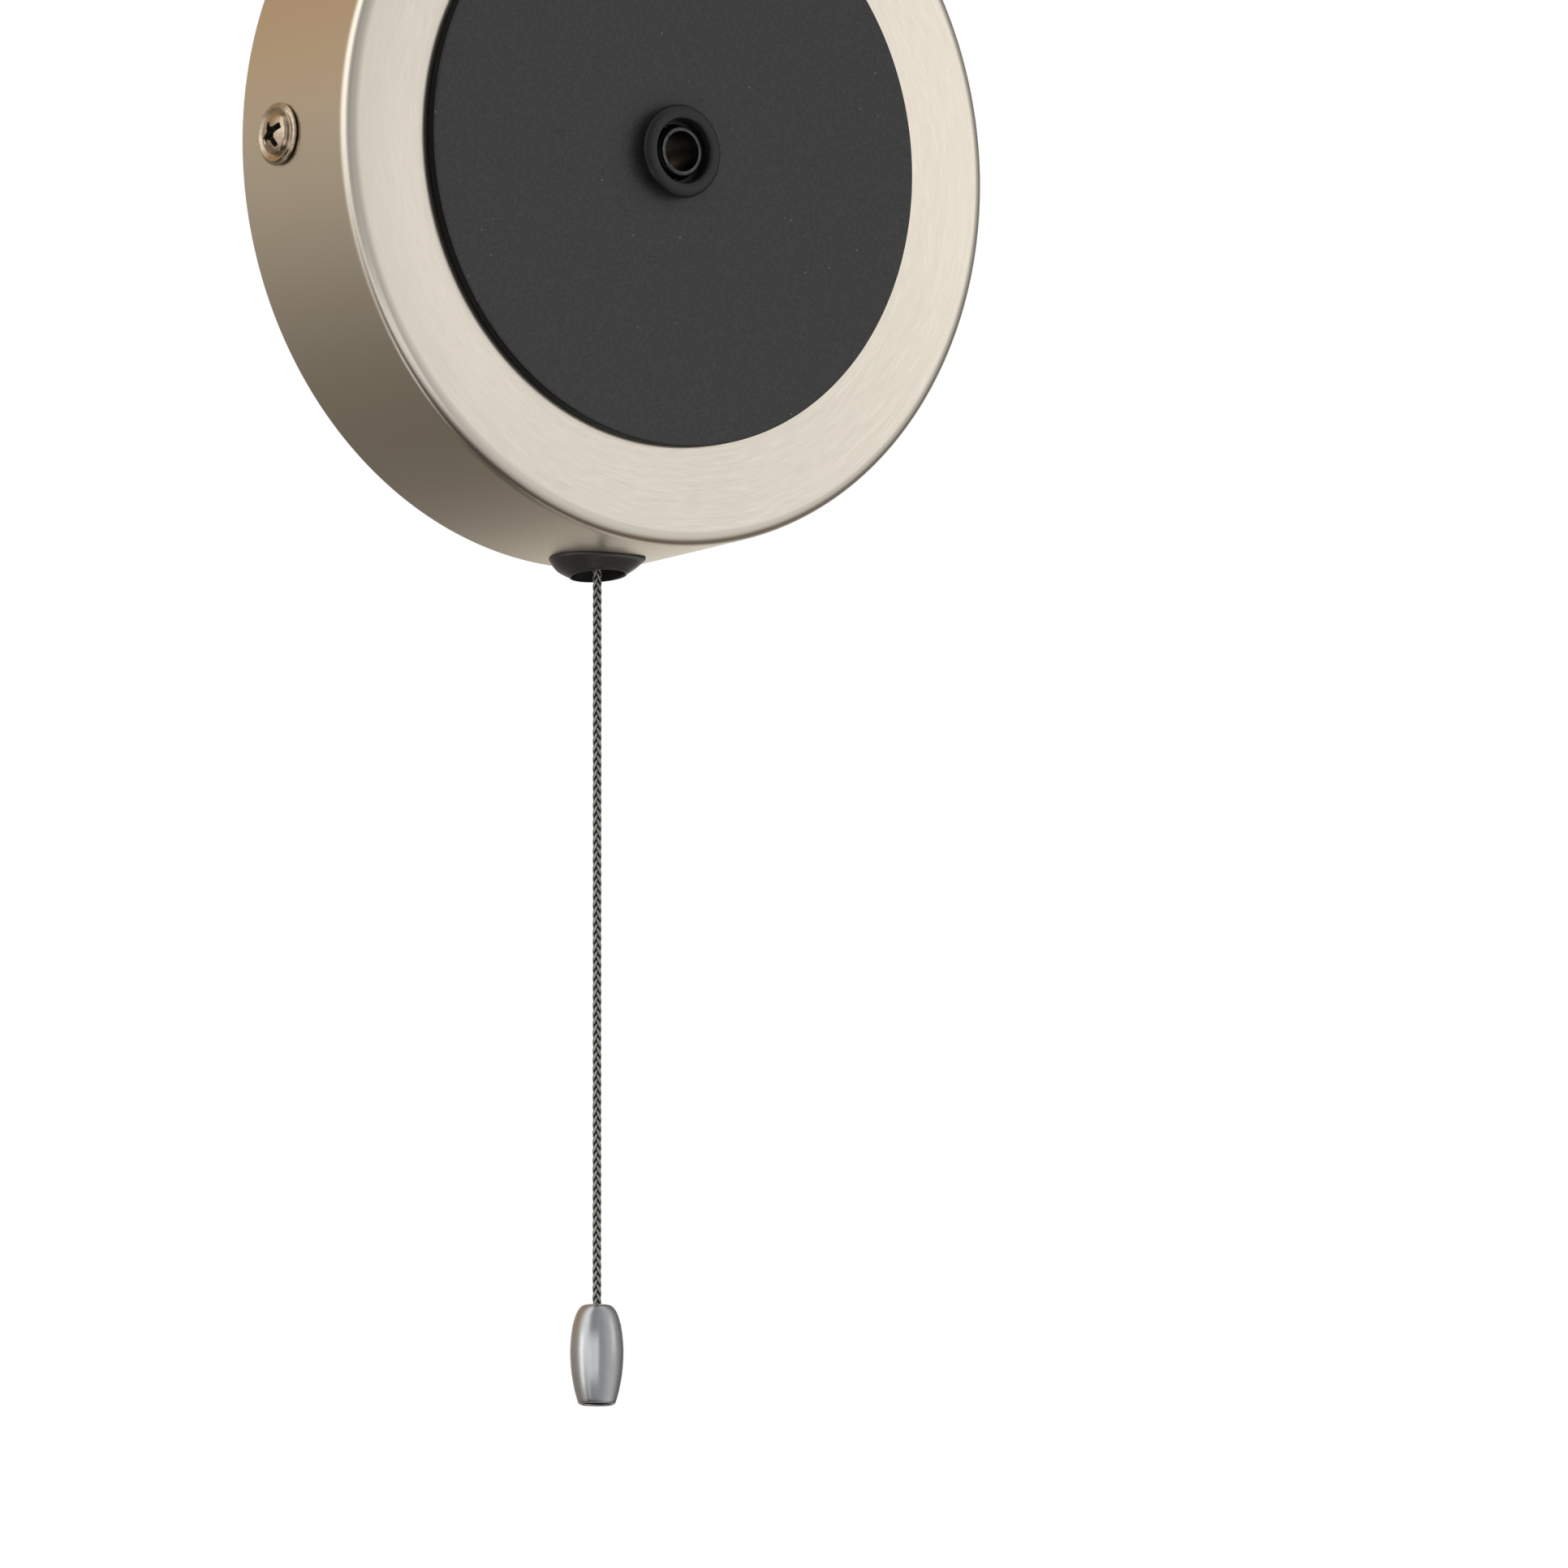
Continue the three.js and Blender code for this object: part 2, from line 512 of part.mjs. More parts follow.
function pullCord() {
  const group = new THREE.Group();
  group.position.y = CORD_Y;
  piece(group, "plunger_knot", ball(KNOT.radius, KNOT.plungerZ), BRAID);
  piece(group, "cord_inner", cordRun(KNOT.plungerZ - KNOT.radius - 0.3, BUSH.pivot + 0.9, 8), BRAID);
  piece(group, "cord_bend", ball(CORD_RADIUS - 0.05, BUSH.pivot), BRAID);
  piece(group, "cord_outer", cordRun(BUSH.pivot - 0.9, KNOT.pullZ + KNOT.radius + 0.3, 34), BRAID);
  piece(group, "cord_pull", cordPull(), PULL_METAL);
  piece(group, "pull_knot", ball(KNOT.radius, KNOT.pullZ), BRAID);
  return group;
}

const pullCordSwitch = new THREE.Group();
piece(pullCordSwitch, "canopy", canopy(), NICKEL);
piece(pullCordSwitch, "wall_bracket", wallBracket(), ZINC);
pullCordSwitch.add(sideScrews(), armSocket(), terminals(), switchUnit(), switchLeads(), pullCord());

export default pullCordSwitch;
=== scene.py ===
import json
import math

import bmesh
import bpy
from mathutils import Matrix, Vector


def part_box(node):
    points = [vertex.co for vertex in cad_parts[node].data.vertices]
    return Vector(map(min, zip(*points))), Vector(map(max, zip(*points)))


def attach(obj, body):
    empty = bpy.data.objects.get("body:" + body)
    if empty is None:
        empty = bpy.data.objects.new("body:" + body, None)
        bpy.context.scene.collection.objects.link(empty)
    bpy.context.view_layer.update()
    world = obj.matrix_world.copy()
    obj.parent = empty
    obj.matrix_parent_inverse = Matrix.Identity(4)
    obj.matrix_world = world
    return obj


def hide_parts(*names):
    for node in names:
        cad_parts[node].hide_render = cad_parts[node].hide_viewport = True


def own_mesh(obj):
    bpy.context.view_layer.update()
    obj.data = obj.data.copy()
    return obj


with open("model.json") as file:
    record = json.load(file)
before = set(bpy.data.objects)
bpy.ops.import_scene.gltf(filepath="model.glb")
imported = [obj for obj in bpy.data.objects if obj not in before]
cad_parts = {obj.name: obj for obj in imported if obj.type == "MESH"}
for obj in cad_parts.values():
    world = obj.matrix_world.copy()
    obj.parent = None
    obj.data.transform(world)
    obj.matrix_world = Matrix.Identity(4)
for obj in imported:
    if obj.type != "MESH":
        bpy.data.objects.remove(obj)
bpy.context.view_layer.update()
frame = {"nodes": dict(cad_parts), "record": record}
MM = 0.001
TURN = 2 * math.pi


def middle(node):
    low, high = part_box(node)
    return [(a + b) / 2 for a, b in zip(low, high)]


def round_size(node):
    """The radius of a node that is round about the Y axis, and its front and back, in millimetres."""
    low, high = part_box(node)
    return (high[0] - low[0]) / 2 / MM, low[1] / MM, high[1] / MM


def linked(name, data):
    """A new object in the scene."""
    made = bpy.data.objects.new(name, data)
    bpy.context.scene.collection.objects.link(made)
    return made


# ---- Camera --------------------------------------------------------------------------------------

AZIMUTH, ELEVATION = math.radians(-35.9), math.radians(-7.2)
DISTANCE = 8.0
VIEW_RIGHT, VIEW_DOWN = 0.03279, 0.09207  # from the middle of the box's back to the middle of the view
LENS_MM, SENSOR_MM = 1218.8, 36


def make_camera():
    """A long lens to the left of the box and a little below it."""
    level = math.cos(ELEVATION)
    right = Vector((math.cos(AZIMUTH), math.sin(AZIMUTH), 0))
    back = Vector((math.sin(AZIMUTH) * level, -math.cos(AZIMUTH) * level, math.sin(ELEVATION)))
    up = back.cross(right)
    camera = linked("camera", bpy.data.cameras.new("camera"))
    turn = Matrix((right, up, back)).transposed().to_4x4()
    place = back * DISTANCE + right * VIEW_RIGHT - up * VIEW_DOWN
    camera.matrix_world = Matrix.Translation(place) @ turn
    camera.data.lens = LENS_MM
    camera.data.sensor_width = SENSOR_MM
    camera.data.clip_start, camera.data.clip_end = 0.1, 100
    bpy.context.scene.camera = camera


make_camera()


# ---- Materials -----------------------------------------------------------------------------------

class Nodes:
    """A node tree, with small helpers that add nodes to it and return their output."""

    def __init__(self, tree):
        self.tree = tree

    def add(self, kind, *values, inputs=None, out=0, **settings):
        """A node with its first inputs filled in order, and others by name or number."""
        node = self.tree.nodes.new("ShaderNode" + kind)
        for key, value in settings.items():
            setattr(node, key, value)
        for key, value in [*enumerate(values), *(inputs or {}).items()]:
            self.plug(value, node.inputs[key])
        return node.outputs[out]

    def plug(self, value, socket):
        if isinstance(value, bpy.types.NodeSocket):
            self.tree.links.new(value, socket)
        else:
            socket.default_value = value

    def math(self, operation, *values):
        return self.add("Math", *values, operation=operation)

    def ramp(self, value, low, high, to_low=0.0, to_high=1.0):
        return self.add("MapRange", value, low, high, to_low, to_high)

    def mix(self, factor, a, b, blend="MIX"):
        return self.add("Mix", inputs={0: factor, 6: a, 7: b}, out=2, data_type="RGBA", blend_type=blend)

    def split(self, vector):
        node = self.tree.nodes.new("ShaderNodeSeparateXYZ")
        self.plug(vector, node.inputs[0])
        return tuple(node.outputs)

    def noise(self, vector, size, detail, w=None):
        """Noise from about 0.3 to 0.7 with lumps of about a size in metres. With w it has a fourth
        dimension, for a direction that the vector leaves out."""
        inputs = {"Vector": vector, "Scale": 1 / size, "Detail": detail}
        if w is not None:
            inputs["W"] = w
        return self.add("TexNoise", inputs=inputs, noise_dimensions="3D" if w is None else "4D")


class Finish(Nodes):
    """A material around one Principled shader. Its constant sockets are given by name."""

    def __init__(self, name, **sockets):
        self.material = bpy.data.materials.new(name)
        self.material.use_nodes = True
        super().__init__(self.material.node_tree)
        self.shader = self.tree.nodes["Principled BSDF"]
        for socket, value in sockets.items():
            self.set(socket.replace("_", " "), value)

    def set(self, socket, value):
        self.plug(value, self.shader.inputs[socket])

    def place(self):
        """Where the point is, in the row frame, in metres."""
        return self.add("TexCoord", out="Object")

    def bump(self, height, distance, strength=1.0):
        inputs = {"Strength": strength, "Distance": distance, "Height": height}
        self.set("Normal", self.add("Bump", inputs=inputs))


def rgb(r, g, b):
    return (r, g, b, 1)


def brushed(name, dark, light, roughness, anisotropy, streak=0.00016):
    """Metal brushed in rings about the Y axis, with faint streaks that run round it."""
    m = Finish(name, Metallic=1.0, Roughness=roughness, Anisotropic=anisotropy)
    m.set("Tangent", m.add("Tangent", direction_type="RADIAL", axis="Y"))
    x, y, z = m.split(m.place())
    radius = m.math("SQRT", m.math("ADD", m.math("MULTIPLY", x, x), m.math("MULTIPLY", z, z)))
    reach = m.math("MAXIMUM", radius, 0.0001)
    around = [m.math("MULTIPLY", m.math("DIVIDE", side, reach), streak * 16) for side in (x, z)]
    ring = m.add("CombineXYZ", *around, radius)
    fine = m.noise(ring, streak, 2.0, w=m.math("DIVIDE", y, streak))
    broad = m.noise(ring, streak * 4, 1.0, w=m.math("DIVIDE", y, streak * 4))
    grain = m.math("ADD", m.math("MULTIPLY", fine, 0.75), m.math("MULTIPLY", broad, 0.25))
    m.set("Base Color", m.mix(m.ramp(grain, 0.35, 0.65), dark, light))
    m.set("Roughness", m.ramp(grain, 0.35, 0.65, roughness + 0.03, roughness - 0.03))
    m.bump(grain, 0.000002, 0.5)
    return m.material


def coated(name, dark, light, roughness, lump, height, specks=None, **sockets):
    """A coating, casting or moulding: fine lumps of a size and height in metres, a little variation in its
    colour and gloss, and perhaps pale specks that far apart."""
    m = Finish(name, Roughness=roughness, **sockets)
    place = m.place()
    lumps = m.noise(place, lump, 3.0)
    cloud = m.noise(place, lump * 40, 2.0)
    mottle = m.math("ADD", m.math("MULTIPLY", lumps, 0.7), m.math("MULTIPLY", cloud, 0.3))
    colour = m.mix(m.ramp(mottle, 0.35, 0.65), dark, light)
    if specks:
        away = m.add("TexVoronoi", inputs={"Vector": place, "Scale": 1 / specks}, out="Distance")
        colour = m.mix(m.ramp(away, 0.03, 0.06, 0.8, 0), colour, rgb(0.16, 0.16, 0.155))
    m.set("Base Color", colour)
    m.set("Roughness", m.ramp(cloud, 0.3, 0.7, roughness - 0.05, roughness + 0.05))
    m.bump(lumps, height)
    return m.material


def braided():
    """Grey strands, painted black where they turn inward and where they dip under crossings: painted
    shade. The mesh's map runs along each strand and round it.
    """
    m = Finish("braid", Roughness=0.62, Specular_IOR_Level=0.2)
    along, around, _ = m.split(m.add("UVMap", uv_map="strand"))
    edge = m.math("MULTIPLY", m.math("COSINE", m.math("MULTIPLY", around, TURN)), 1.5)
    high = m.math("MULTIPLY", m.math("COSINE", m.math("MULTIPLY", along, math.pi)), 0.45)
    # Grey only on the outward face near the top of each float; black elsewhere is painted shade between
    # the strands.
    leaf = m.math("SUBTRACT", m.math("ADD", edge, high), 1.35)
    ways = [m.math("MULTIPLY", along, 0.0006), m.math("MULTIPLY", around, 0.0016)]
    threads = m.noise(m.add("CombineXYZ", *ways, 0.0), 0.00006, 2.0)
    grey = m.mix(m.ramp(threads, 0.35, 0.65), rgb(0.27, 0.267, 0.26), rgb(0.46, 0.455, 0.44))
    m.set("Base Color", m.mix(m.ramp(leaf, 0.0, 0.3), rgb(0.003, 0.003, 0.003), grey))
    m.bump(threads, 0.00003)
    return m.material


NICKEL = brushed("nickel", rgb(0.745, 0.69, 0.60), rgb(0.78, 0.725, 0.635), 0.30, 0.75)
BLACK_COAT = coated("black_coat", rgb(0.021, 0.022, 0.0225), rgb(0.040, 0.042, 0.043), 0.52,
                    0.0004, 0.00005, specks=0.0036)
# Near-black with little gloss: painted shade, used on the disc's cut edge, the bush's throat and the
# pull's bore.
PAINTED_SHADE_BLACK = coated("painted_shade_black", rgb(0.002, 0.002, 0.002), rgb(0.005, 0.005, 0.005), 0.5,
                    0.0003, 0.00001, Specular_IOR_Level=0.15)
BLACK_GLOSS = coated("black_gloss", rgb(0.008, 0.008, 0.008), rgb(0.016, 0.016, 0.016), 0.26,
                     0.0004, 0.00001, Specular_IOR_Level=0.3)
BLACK_STEEL = coated("black_steel", rgb(0.06, 0.06, 0.064), rgb(0.10, 0.10, 0.105), 0.34,
                     0.0006, 0.000008, Metallic=1.0)
BLACK_PLASTIC = coated("black_plastic", rgb(0.026, 0.026, 0.027), rgb(0.036, 0.036, 0.037), 0.33,
                       0.0004, 0.000004)
CASE_PLASTIC = coated("case_plastic", rgb(0.016, 0.016, 0.017), rgb(0.03, 0.03, 0.031), 0.5,
                      0.0003, 0.00001)
CREAM = coated("cream_plastic", rgb(0.68, 0.64, 0.53), rgb(0.76, 0.72, 0.62), 0.42,
               0.0005, 0.00001, Subsurface_Weight=0.15)
NYLON = coated("nylon", rgb(0.74, 0.71, 0.63), rgb(0.82, 0.79, 0.72), 0.4, 0.0006, 0.000006)
BROWN_WIRE = coated("brown_wire", rgb(0.10, 0.045, 0.022), rgb(0.14, 0.065, 0.034), 0.36,
                    0.0006, 0.000006)
BLUE_WIRE = coated("blue_wire", rgb(0.016, 0.06, 0.22), rgb(0.025, 0.085, 0.29), 0.36,
                   0.0006, 0.000006)
ZINC = coated("zinc", rgb(0.56, 0.57, 0.58), rgb(0.72, 0.72, 0.70), 0.3,
              0.0009, 0.000008, Metallic=1.0)
BRASS = coated("brass", rgb(0.60, 0.42, 0.16), rgb(0.76, 0.57, 0.26), 0.27,
               0.0009, 0.000006, Metallic=1.0)
BRONZE = coated("bronze", rgb(0.50, 0.29, 0.15), rgb(0.62, 0.38, 0.21), 0.27,
                0.0006, 0.000004, Metallic=1.0)
SILVER = coated("silver", rgb(0.78, 0.78, 0.76), rgb(0.88, 0.87, 0.85), 0.25,
                0.0006, 0.000004, Metallic=1.0)
SCREW = coated("screw_nickel", rgb(0.44, 0.35, 0.25), rgb(0.62, 0.52, 0.41), 0.24,
               0.0008, 0.000006, Metallic=1.0)
# Dark brown with little gloss: painted shade for the faces down in the screws' cross recesses.
RECESS_PAINTED_SHADE = coated("screw_recess_painted_shade", rgb(0.012, 0.010, 0.008), rgb(0.03, 0.024, 0.018), 0.5,
                0.0004, 0.00001, Specular_IOR_Level=0.2)
PULL = coated("pull_satin", rgb(0.42, 0.43, 0.445), rgb(0.45, 0.46, 0.475), 0.25,
              0.0009, 0.000001, Metallic=0.9)
BRAID = braided()


# ---- Mesh helpers --------------------------------------------------------------------------------


def new_object(name, mesh, material, node, smooth=40):
    """A piece with a finished mesh, in place of a CAD node and on that node's body."""
    mesh.materials.append(material)
    mesh.shade_smooth()
    mesh.set_sharp_from_angle(angle=math.radians(smooth))
    made = linked(name, mesh)
    bodies = frame["record"]["behaviour"]["bodies"].items()
    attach(made, next(body for body, nodes in bodies if node in nodes))
    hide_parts(node)
    return made


def second_finish(made, material, chosen):
    """Gives a second material to the faces whose centre passes a test."""
    made.data.materials.append(material)
    for face in made.data.polygons:
        if chosen(face.center):
            face.material_index = 1


def mesh_from(name, points, faces):
    mesh = bpy.data.meshes.new(name)
    mesh.from_pydata([tuple(p) for p in points], [], faces)
    bm = bmesh.new()
    bm.from_mesh(mesh)
    bmesh.ops.recalc_face_normals(bm, faces=bm.faces)
    bm.to_mesh(mesh)
    bm.free()
    return mesh


def arc(cr, ch, radius, start, end, steps):
    """(radius, height) pairs along an arc, its angles in degrees."""
    angles = [math.radians(start + (end - start) * i / steps) for i in range(steps + 1)]
    return [(cr + radius * math.cos(a), ch + radius * math.sin(a)) for a in angles]


def rod(radius, low, high):
    """The closed profile of a plain rod."""
    return [(0, low), (radius, low), (radius, high), (0, high)]


SPIN = {"X": Matrix.Rotation(math.pi / 2, 3, "Y"), "Y": Matrix.Rotation(-math.pi / 2, 3, "X"),
        "Z": Matrix.Identity(3)}


def turned(name, profile, segments, axis="Y", at=(0, 0, 0), shape=None):
    """A closed profile of (radius, height) pairs in millimetres, revolved about an axis through a place.
    The shape function moves each point while the axis is still upright."""
    points, faces, rows = [], [], []
    for r, h in profile:
        if r < 1e-6:
            rows.append([len(points)] * segments)
            points.append((0.0, 0.0, h))
            continue
        rows.append(list(range(len(points), len(points) + segments)))
        for i in range(segments):
            angle = TURN * i / segments
            points.append((r * math.cos(angle), r * math.sin(angle), h))
    if shape:
        points = [shape(p) for p in points]
    for a, b in zip(rows, rows[1:] + rows[:1]):
        for i in range(segments):
            j = (i + 1) % segments
            corners = list(dict.fromkeys((a[i], a[j], b[j], b[i])))
            if len(corners) > 2:
                faces.append(corners)
    return mesh_from(name, [SPIN[axis] @ Vector(p) * MM + Vector(at) for p in points], faces)


def tube_faces(first, rings, sides, closed=False):
    """The faces between rings of points that start at a first point. Closed also joins the last ring to
    the first."""
    faces = []
    for s in range(rings if closed else rings - 1):
        here, ahead = first + s * sides, first + (s + 1) % rings * sides
        for i in range(sides):
            j = (i + 1) % sides
            faces.append((here + i, here + j, ahead + j, ahead + i))
    return faces


def map_corners(here, ahead, low, high):
    """The places on the strand map of the four corners of a tube's face."""
    return (here, low), (here, high), (ahead, high), (ahead, low)


def set_strand_map(mesh, maps):
    layer = mesh.uv_layers.new(name="strand")
    for poly, corners in zip(mesh.polygons, maps):
        for loop, corner in zip(poly.loop_indices, corners):
            layer.data[loop].uv = corner


def drilled(mesh, cutters):
    """The mesh with each cutter taken out of it."""
    blanks = [linked("blank_%d" % i, shape) for i, shape in enumerate([mesh] + cutters)]
    for blank in blanks[1:]:
        cut = blanks[0].modifiers.new("cut", "BOOLEAN")
        cut.operation, cut.solver, cut.object = "DIFFERENCE", "EXACT", blank
    solid = blanks[0].evaluated_get(bpy.context.evaluated_depsgraph_get())
    result = bpy.data.meshes.new_from_object(solid)
    for blank in blanks:
        bpy.data.objects.remove(blank)
    result.name = mesh.name
    return result


# ---- The box, in millimetres ----------------------------------------------------------------------

CORD = middle("cord_outer")
WALL, WALL_EDGE, TAPER = 1.2, 2.3, 0.8  # the sheet, the radius of its edge, and how much narrower it gets
BUSH_HOLE, SCREW_HOLE, NIPPLE_HOLE = 5.2, 2.3, 4.3


def box_shell():
    """The drawn nickel cup. Heights run towards the wall, so its front is at its lowest height."""
    radius, front, back = round_size("canopy")
    depth, bend = back - front, radius - TAPER - WALL_EDGE
    profile = [(radius - 0.25, 0), (radius, -0.25)]
    profile += arc(bend, WALL_EDGE - depth, WALL_EDGE, 0, -90, 14)
    profile += [(r, -depth) for r in (50, 44, 30, 12, NIPPLE_HOLE)]
    profile += [(r, WALL - depth) for r in (NIPPLE_HOLE, 12, 30, 50)]
    profile += arc(bend, WALL_EDGE - depth, WALL_EDGE - WALL, -90, 0, 10)
    profile += [(radius - WALL, -0.25), (radius - WALL + 0.25, 0)]
    screws = Vector((0, middle("side_washer_left")[1], 0))
    cutters = [turned("bush_hole", rod(BUSH_HOLE, -61, -57), 64, "Z", (CORD[0], CORD[1], 0))]
    for low, high in ((-62, -57), (57, 62)):
        cutters.append(turned("screw_hole", rod(SCREW_HOLE, low, high), 48, "X", screws))
    new_object("box_shell", drilled(turned("box_shell", profile, 256), cutters), NICKEL, "canopy")


def front_plate():
    """The coated disc on the front; its cut edge is painted near-black as painted shade."""
    radius, front, back = round_size("front_disc")
    profile = [(NIPPLE_HOLE, back), (radius, back)]
    profile += arc(radius - 0.45, front + 0.45, 0.45, 0, -90, 8)
    profile += [(r, front) for r in (38, 25, 12, NIPPLE_HOLE)]
    made = new_object("front_plate", turned("front_plate", profile, 256), BLACK_COAT, "front_disc")
    # The faces at the rim get the near-black finish: painted shade on the disc's side.
    second_finish(made, PAINTED_SHADE_BLACK, lambda c: math.hypot(c.x, c.z) > (radius - 0.1) * MM)


def collar():
    """A rounded bead on a short foot."""
    radius, front, back = round_size("arm_collar")
    profile = [(4.86, back), (6.45, back), (6.3, back - 0.35), (6.35, back - 0.6)]
    profile += arc(radius - 0.98, front + 1.02, 0.98, 55, -90, 12)
    profile += arc(5.25, front + 0.35, 0.35, -90, -180, 4) + [(4.86, front + 0.5)]
    new_object("collar", turned("collar", profile, 128), BLACK_GLOSS, "arm_collar")


def threaded_nipple():
    """A tube whose outside carries a screw thread of 1 mm pitch and 0.45 mm depth."""
    radius, front, back = round_size("arm_nipple")
    bore, chamfer, steps = 3.1, 3.6, int((back - front) / 0.125)
    heights = [front + 0.3 + (back - front - 0.6) * i / steps for i in range(steps + 1)]
    profile = [(bore, back), (chamfer, back)] + [(radius, h) for h in reversed(heights)]
    profile += [(chamfer, front), (bore, front)]

    def cut(p):
        r = math.hypot(p[0], p[1])
        if r < radius - 0.05:
            return p
        phase = (p[2] - math.atan2(p[1], p[0]) / TURN) % 1
        new = radius - 0.45 * abs(2 * phase - 1)
        return (p[0] * new / r, p[1] * new / r, p[2])

    mesh = turned("nipple", profile, 64, shape=cut)
    new_object("nipple", mesh, BLACK_STEEL, "arm_nipple", smooth=80)


box_shell()
front_plate()
collar()
threaded_nipple()


# ---- Side screws ---------------------------------------------------------------------------------

ARM_LONG, ARM_HALF = 1.95, 0.42  # the reach and the half width of the recess's arms
CROWN_RADIUS, CROWN_FALL = 2.4, 0.55  # how far the head has fallen away at a radius
CROSS_TURN = 0.5  # radians


def washer(label, side, at, top):
    """A cup washer with a rounded rim and a step up to its flat top. Heights are from the box's wall."""
    seat = -0.08
    profile = [(2.2, seat), (4.6, seat)] + arc(4.52, seat + 0.25, 0.23, -60, 90, 6)
    profile += [(4.3, top - 0.26)] + arc(4.08, top - 0.16, 0.16, 10, 120, 6)
    profile += [(3.56, top - 0.16), (3.34, top - 0.3), (2.2, top - 0.3)]
    name = "washer_" + label
    mesh = turned(name, [(r, side * h) for r, h in profile], 96, "X", at)
    new_object(name, mesh, SCREW, "side_" + name)


def cross_head(label, side, at, base, top):
    """A crowned pan head with a cross recess, on its shank."""
    def crown(r):
        return top - CROWN_FALL * (r / CROWN_RADIUS) ** 2

    profile = [(0, top)] + [(0.06 * i, crown(0.06 * i)) for i in range(2, 47)]
    profile += arc(2.45, top - 1.41, 0.75, 62, 0, 8) + [(3.2, base), (2.0, base), (2.0, -6.9), (0, -6.9)]

    def recess(p):
        x, y, h = p
        reach = math.hypot(x, y)
        if h < base + 0.2:
            return p
        across, upright = abs(x), abs(y)
        arms = min(max(across / ARM_LONG, upright / ARM_HALF), max(upright / ARM_LONG, across / ARM_HALF),
                   reach / 0.85)
        inside = min(1.0, max(0.0, (1.24 - arms) / 0.42))
        return (x, y, h - (0.4 + 1.3 * max(0.0, 1 - reach / 2.7)) * inside)

    # The faces sunk in the cross recess get the dark finish: painted shade.
    def sunk(centre):
        reach, rise = math.hypot(centre.y - at.y, centre.z) / MM, abs(centre.x - at.x) / MM
        return reach < 2.25 and rise < crown(reach) - 0.22

    name = "screw_" + label
    mesh = turned(name, profile, 256, "Z", (0, 0, 0), recess)
    outward, twist = Matrix.Rotation(side * math.pi / 2, 4, "Y"), Matrix.Rotation(CROSS_TURN, 4, "Z")
    mesh.transform(Matrix.Translation(at) @ outward @ twist)
    second_finish(new_object(name, mesh, SCREW, "side_" + name, smooth=50), RECESS_PAINTED_SHADE, sunk)


def side_screw(label, side):
    """A screw on its washer, at the left (-1) or the right (1)."""
    low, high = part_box("side_washer_" + label)
    inner, outer = sorted((abs(low[0]) / MM, abs(high[0]) / MM))
    wall = inner - 0.15
    at, top = Vector((side * wall * MM, (low[1] + high[1]) / 2, 0)), outer - wall
    washer(label, side, at, top)
    head = max(abs(v[0]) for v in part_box("side_screw_" + label)) / MM - wall
    cross_head(label, side, at, top - 0.28, head)


side_screw("left", -1)
side_screw("right", 1)


# ---- Bush, spring, cord and pull -----------------------------------------------------------------

BEND_ROOM = 0.3  # what each run of cord leaves free at the bend, which the ball there fills


def bush():
    """The bell-mouthed bush, saddled to the rim, with its mouth leaning a little towards the room."""
    low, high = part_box("cord_bush")
    lip, top, flange = low[2] / MM, high[2] / MM, -59.7
    profile = [(4.9, top)] + [(r, -59.1) for r in (4.9, 5.4, 6.2, 6.9, 7.3)]
    profile += [(7.3, -59.62), (7.22, -59.76), (6.98, -60.04), (6.62, -60.42), (6.2, -60.8), (5.7, -61.17),
                (5.2, -61.48), (4.75, -61.74), (4.5, -61.92)]
    profile += arc(4.3, lip + 0.26, 0.26, -75, -180, 8)
    profile += [(3.3, lip + 1.25), (2.3, -59.8), (1.6, -59.1), (1.35, -58.5), (1.3, -57.6), (2, -56.5),
                (2, top)]

    def saddle(p):
        x, y, h = p
        if math.hypot(x, y) > 4.95:
            wall = 60.03 + 0.8 / 26.2 * (y + CORD[1] / MM)
            h = min(h, -math.sqrt(wall * wall - x * x))
        lean = 0.11 * min(1.0, max(0.0, flange - h))
        return (x, y + (h - flange) * lean, h - y * lean)

    # The faces inside the mouth get the near-black finish: painted shade in the throat.
    def throat(centre):
        return math.hypot(centre.x, centre.y - CORD[1]) / MM < 4.02

    mesh = turned("bush", profile, 128, "Z", (CORD[0], CORD[1], 0), saddle)
    second_finish(new_object("bush", mesh, BLACK_PLASTIC, "cord_bush", smooth=50), PAINTED_SHADE_BLACK, throat)


def return_spring():
    """The coil under the plunger, with closer turns at its ends."""
    low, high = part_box("return_spring")
    wire, turns, steps, sides = 0.3, 6, 240, 10
    radius, bottom, top = (high[0] - low[0]) / 2 / MM - wire, low[2] / MM + wire, high[2] / MM - wire
    x, y, _ = middle("return_spring")
    points = []
    for s in range(steps + 1):
        turn = TURN * s / steps
        out = Vector((math.cos(turn * turns), math.sin(turn * turns), 0))
        height = bottom + (top - bottom) * (turn - 0.6 * math.sin(turn)) / TURN
        for i in range(sides):
            a = TURN * i / sides
            point = out * (radius + wire * math.cos(a)) + Vector((0, 0, height + wire * math.sin(a)))
            points.append(point * MM + Vector((x, y, 0)))
    faces = tube_faces(0, steps + 1, sides)
    faces += [tuple(range(sides)), tuple(range(steps * sides, (steps + 1) * sides))]
    coil = new_object("spring", mesh_from("spring", points, faces), ZINC, "return_spring", smooth=60)
    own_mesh(coil)


LEAD = 8.28  # the length of cord in which a strand goes once round it
STRANDS_EACH_WAY = 6
STRAND_SIDES, RINGS_PER_LEAD = 8, 48
STRAND_PATH, STRAND_LIFT = 0.46, 0.075  # the radius of a strand's path, and how far it rises and dips
STRAND_WIDE, STRAND_THICK = 0.27, 0.13  # half the width and half the thickness


